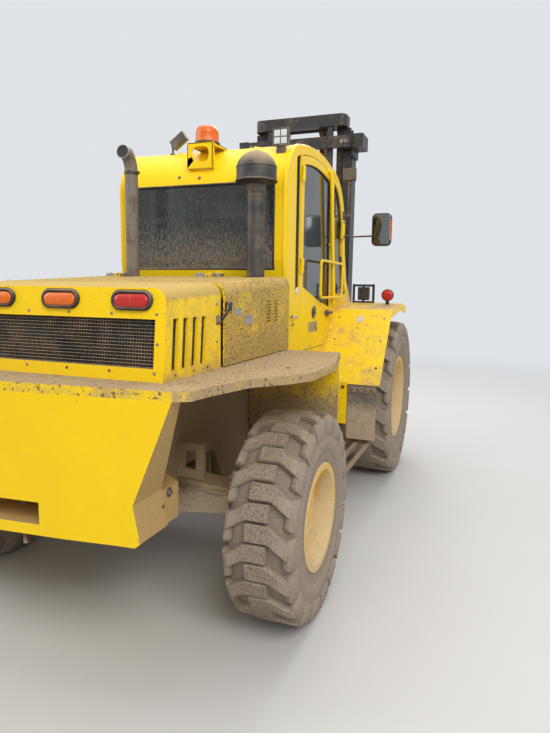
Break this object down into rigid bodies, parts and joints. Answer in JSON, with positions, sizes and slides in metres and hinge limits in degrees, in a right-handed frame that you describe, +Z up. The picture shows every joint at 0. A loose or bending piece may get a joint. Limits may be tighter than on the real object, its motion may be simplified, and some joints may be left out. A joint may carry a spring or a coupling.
{
  "type": "rough terrain forklift",
  "caption": "Rough terrain forklift with a glazed cab, flared counterweight, long rear hood, large lugged drive tyres, steered rear tyres and a tilting lift mast with forks.",
  "frame": {"origin": "on the ground, at the middle of the machine's length and width", "axes": "+Z up, -Y towards the fork tips, +X towards the driver's left-hand side"},
  "size_m": [2.114, 5.145, 3.075],
  "materials": {
    "body_yellow": "glossy enamel under dust",
    "muddy_yellow": "enamel under dried mud",
    "black_paint": "worn semi-gloss enamel",
    "bare_steel": "worn and rusty",
    "rod_steel": "polished",
    "chain_steel": "rusty and greasy",
    "tyre_rubber": "matt and dusty",
    "flap_rubber": "matt and dusty",
    "black_plastic": "dusty",
    "exhaust_steel": "heat-stained and rusty",
    "engine_iron": "dark and oily",
    "lamp_plastic": "clear lens",
    "amber_plastic": "clear lens",
    "seat_fabric": "woven",
    "tinted_glass": "lightly tinted and dusty"
  },
  "bodies": {
    "chassis": {"beacon": "amber_plastic", "cab_floor": "black_paint", "cab_front_wall": "body_yellow", "cab_glass": "tinted_glass", "cab_rear_wall": "body_yellow", "cab_roof": "body_yellow", "cab_sides": "body_yellow", "console": "black_paint", "cooling_pack": "engine_iron", "counterweight": "body_yellow", "engine_block": "engine_iron", "exhaust": "exhaust_steel", "fender_lamps": "black_plastic", "frame": "muddy_yellow", "front_axle": "muddy_yellow", "front_fenders": "body_yellow", "hitch_pin": "bare_steel", "mirrors": "black_plastic", "mud_flaps": "flap_rubber", "pre_cleaner": "black_plastic", "rear_axle": "muddy_yellow", "rear_deck": "body_yellow", "rear_grille": "black_paint", "rear_housing": "body_yellow", "rear_lamps": "lamp_plastic", "seat": "seat_fabric", "side_tanks": "body_yellow", "steps": "black_paint", "work_lights": "black_plastic"},
    "hood_lid": {"hood": "body_yellow"},
    "left_door": {"door_left": "body_yellow", "door_glass_left": "tinted_glass"},
    "right_door": {"door_right": "body_yellow", "door_glass_right": "tinted_glass"},
    "left_knuckle": {"knuckle_left": "muddy_yellow"},
    "right_knuckle": {"knuckle_right": "muddy_yellow"},
    "rear_wheel_left": {"rear_tyre_left": "tyre_rubber", "rear_rim_left": "muddy_yellow"},
    "rear_wheel_right": {"rear_tyre_right": "tyre_rubber", "rear_rim_right": "muddy_yellow"},
    "front_wheel_left": {"front_tyre_left": "tyre_rubber", "front_rim_left": "muddy_yellow"},
    "front_wheel_right": {"front_tyre_right": "tyre_rubber", "front_rim_right": "muddy_yellow"},
    "steering": {"steering_wheel": "black_plastic"},
    "mast": {"mast_outer": "black_paint"},
    "lift_mast": {"mast_inner": "black_paint", "chains_front": "chain_steel", "chains_rear": "chain_steel"},
    "fork_carriage": {"carriage": "black_paint", "forks": "bare_steel"},
    "tilt_cylinder_left": {"tilt_barrel_left": "black_paint"},
    "tilt_cylinder_right": {"tilt_barrel_right": "black_paint"},
    "tilt_piston_left": {"tilt_rod_left": "rod_steel"},
    "tilt_piston_right": {"tilt_rod_right": "rod_steel"}
  },
  "joints": [
    {"name": "hood_hinge", "type": "hinge", "parent": "chassis", "child": "hood_lid", "pos_m": [0, 1.0175, 1.612], "axis": [1, 0, 0], "range_deg": [0, 50]},
    {"name": "door_left_hinge", "type": "hinge", "parent": "chassis", "child": "left_door", "pos_m": [0.591, 0.6565, 1.7], "axis": [0, 0, 1], "range_deg": [0, 95]},
    {"name": "door_right_hinge", "type": "hinge", "parent": "chassis", "child": "right_door", "pos_m": [-0.591, 0.6565, 1.7], "axis": [0, 0, -1], "range_deg": [0, 95]},
    {"name": "steer_left", "type": "hinge", "parent": "chassis", "child": "left_knuckle", "pos_m": [0.69, 1.6725, 0.4825], "axis": [0, 0, 1], "range_deg": [-35, 35]},
    {"name": "steer_right", "type": "hinge", "parent": "chassis", "child": "right_knuckle", "pos_m": [-0.69, 1.6725, 0.4825], "axis": [0, 0, 1], "range_deg": [-35, 35]},
    {"name": "steering_column", "type": "hinge", "parent": "chassis", "child": "steering", "pos_m": [0, -0.1575, 1.74], "axis": [0, 0.3972, 0.9177], "range_deg": [-525, 525]},
    {"name": "wheel_rear_left", "type": "hinge", "parent": "left_knuckle", "child": "rear_wheel_left", "pos_m": [0.902, 1.6725, 0.4825], "axis": [1, 0, 0], "continuous": true},
    {"name": "wheel_rear_right", "type": "hinge", "parent": "right_knuckle", "child": "rear_wheel_right", "pos_m": [-0.902, 1.6725, 0.4825], "axis": [1, 0, 0], "continuous": true},
    {"name": "wheel_front_left", "type": "hinge", "parent": "chassis", "child": "front_wheel_left", "pos_m": [0.857, -0.7215, 0.6375], "axis": [1, 0, 0], "continuous": true},
    {"name": "wheel_front_right", "type": "hinge", "parent": "chassis", "child": "front_wheel_right", "pos_m": [-0.857, -0.7215, 0.6375], "axis": [1, 0, 0], "continuous": true},
    {"name": "mast_tilt", "type": "hinge", "parent": "chassis", "child": "mast", "pos_m": [0, -1.0175, 0.55], "axis": [1, 0, 0], "range_deg": [-10, 12]},
    {"name": "mast_lift", "type": "slide", "parent": "mast", "child": "lift_mast", "axis": [0, 0, 1], "range_m": [0, 2], "deforming": ["chains_rear"]},
    {"name": "carriage_lift", "type": "slide", "parent": "lift_mast", "child": "fork_carriage", "axis": [0, 0, 1], "range_m": [0, 2], "deforming": ["chains_front"]},
    {"name": "tilt_base_left", "type": "hinge", "parent": "chassis", "child": "tilt_cylinder_left", "pos_m": [0.46, 0.1225, 0.8], "axis": [1, 0, 0], "range_deg": [-1, 1]},
    {"name": "tilt_stroke_left", "type": "slide", "parent": "tilt_cylinder_left", "child": "tilt_piston_left", "axis": [0, -0.9864, 0.1644], "range_m": [-0.078, 0.093]},
    {"name": "tilt_base_right", "type": "hinge", "parent": "chassis", "child": "tilt_cylinder_right", "pos_m": [-0.46, 0.1225, 0.8], "axis": [1, 0, 0], "range_deg": [-1, 1]},
    {"name": "tilt_stroke_right", "type": "slide", "parent": "tilt_cylinder_right", "child": "tilt_piston_right", "axis": [0, -0.9864, 0.1644], "range_m": [-0.078, 0.093]}
  ],
  "couplings": [
    {"joint": "steer_right", "follows": "steer_left", "ratio": 1},
    {"joint": "steering_column", "follows": "steer_left", "ratio": 15},
    {"joint": "carriage_lift", "follows": "mast_lift", "ratio": 1},
    {"joint": "tilt_base_left", "follows": "mast_tilt", "ratio": 0.045},
    {"joint": "tilt_stroke_left", "follows": "mast_tilt", "m_per_rad": 0.4355},
    {"joint": "tilt_base_right", "follows": "mast_tilt", "ratio": 0.045},
    {"joint": "tilt_stroke_right", "follows": "mast_tilt", "m_per_rad": 0.4355}
  ]
}
